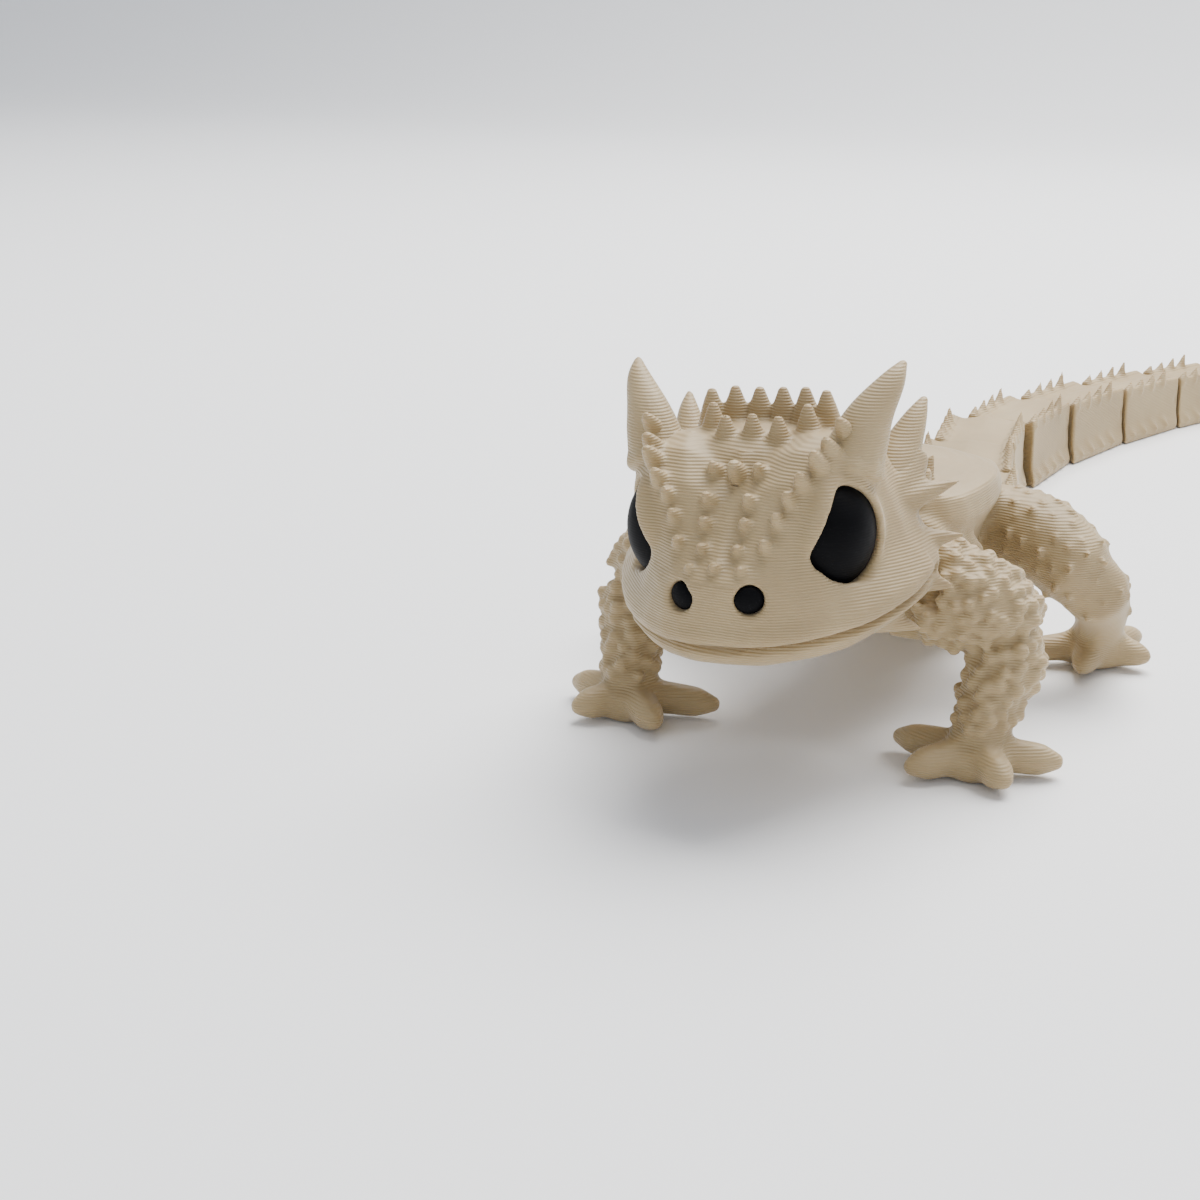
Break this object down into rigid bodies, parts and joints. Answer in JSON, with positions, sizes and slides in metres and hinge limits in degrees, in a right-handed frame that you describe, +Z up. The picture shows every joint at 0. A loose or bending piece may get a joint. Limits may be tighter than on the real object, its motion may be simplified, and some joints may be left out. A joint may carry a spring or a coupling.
{
  "type": "jointed toy horned lizard",
  "caption": "Printed plastic toy horned lizard with brow horns, a turning head and a jointed spiny tail.",
  "frame": {"origin": "middle of the footprint on the floor", "axes": "+Z up, the head faces -Y, the tail runs to +Y, the lizard's left side is +X"},
  "size_m": [0.0444, 0.1672, 0.0322],
  "materials": {
    "body_plastic": "tan printed plastic, matte, fine layer lines",
    "black_plastic": "black printed plastic, satin"
  },
  "bodies": {
    "torso": {"arm_left": "body_plastic", "hand_left": "body_plastic", "leg_left": "body_plastic", "foot_left": "body_plastic", "arm_right": "body_plastic", "hand_right": "body_plastic", "leg_right": "body_plastic", "foot_right": "body_plastic", "neck": "body_plastic", "torso": "body_plastic", "pelvis": "body_plastic"},
    "head": {"horn_left": "body_plastic", "temple_horn_left": "body_plastic", "eye_left": "black_plastic", "nostril_left": "black_plastic", "horn_right": "body_plastic", "temple_horn_right": "body_plastic", "eye_right": "black_plastic", "nostril_right": "black_plastic", "lower_jaw": "body_plastic", "head": "body_plastic"},
    "tail_1": {"tail_1": "body_plastic"},
    "tail_2": {"tail_2": "body_plastic"},
    "tail_3": {"tail_3": "body_plastic"},
    "tail_4": {"tail_4": "body_plastic"},
    "tail_5": {"tail_5": "body_plastic"},
    "tail_6": {"tail_6": "body_plastic"},
    "tail_7": {"tail_7": "body_plastic"},
    "tail_8": {"tail_8": "body_plastic"}
  },
  "joints": [
    {"name": "neck_turn", "type": "hinge", "parent": "torso", "child": "head", "pos_m": [-0.00016, -0.06808, 0.01908], "axis": [0, 0, 1], "range_deg": [-8, 8]},
    {"name": "tail_bend_1", "type": "hinge", "parent": "torso", "child": "tail_1", "pos_m": [0, -0.02744, 0.0035], "axis": [0, 0, 1], "range_deg": [-28, 12]},
    {"name": "tail_bend_2", "type": "hinge", "parent": "tail_1", "child": "tail_2", "pos_m": [-0.00199, -0.01328, 0.0035], "axis": [0, 0, 1], "range_deg": [-26, 14]},
    {"name": "tail_bend_3", "type": "hinge", "parent": "tail_2", "child": "tail_3", "pos_m": [-0.00545, 0.0006, 0.0035], "axis": [0, 0, 1], "range_deg": [-15, 25]},
    {"name": "tail_bend_4", "type": "hinge", "parent": "tail_3", "child": "tail_4", "pos_m": [-0.00769, 0.01472, 0.0035], "axis": [0, 0, 1], "range_deg": [-6, 34]},
    {"name": "tail_bend_5", "type": "hinge", "parent": "tail_4", "child": "tail_5", "pos_m": [-0.00644, 0.02896, 0.0035], "axis": [0, 0, 1], "range_deg": [-11, 29]},
    {"name": "tail_bend_6", "type": "hinge", "parent": "tail_5", "child": "tail_6", "pos_m": [-0.00298, 0.04284, 0.0035], "axis": [0, 0, 1], "range_deg": [-14, 26]},
    {"name": "tail_bend_7", "type": "hinge", "parent": "tail_6", "child": "tail_7", "pos_m": [0.0016, 0.05543, 0.0035], "axis": [0, 0, 1], "range_deg": [-15, 25]},
    {"name": "tail_bend_8", "type": "hinge", "parent": "tail_7", "child": "tail_8", "pos_m": [0.00684, 0.06667, 0.0035], "axis": [0, 0, 1], "range_deg": [-17, 23]}
  ]
}
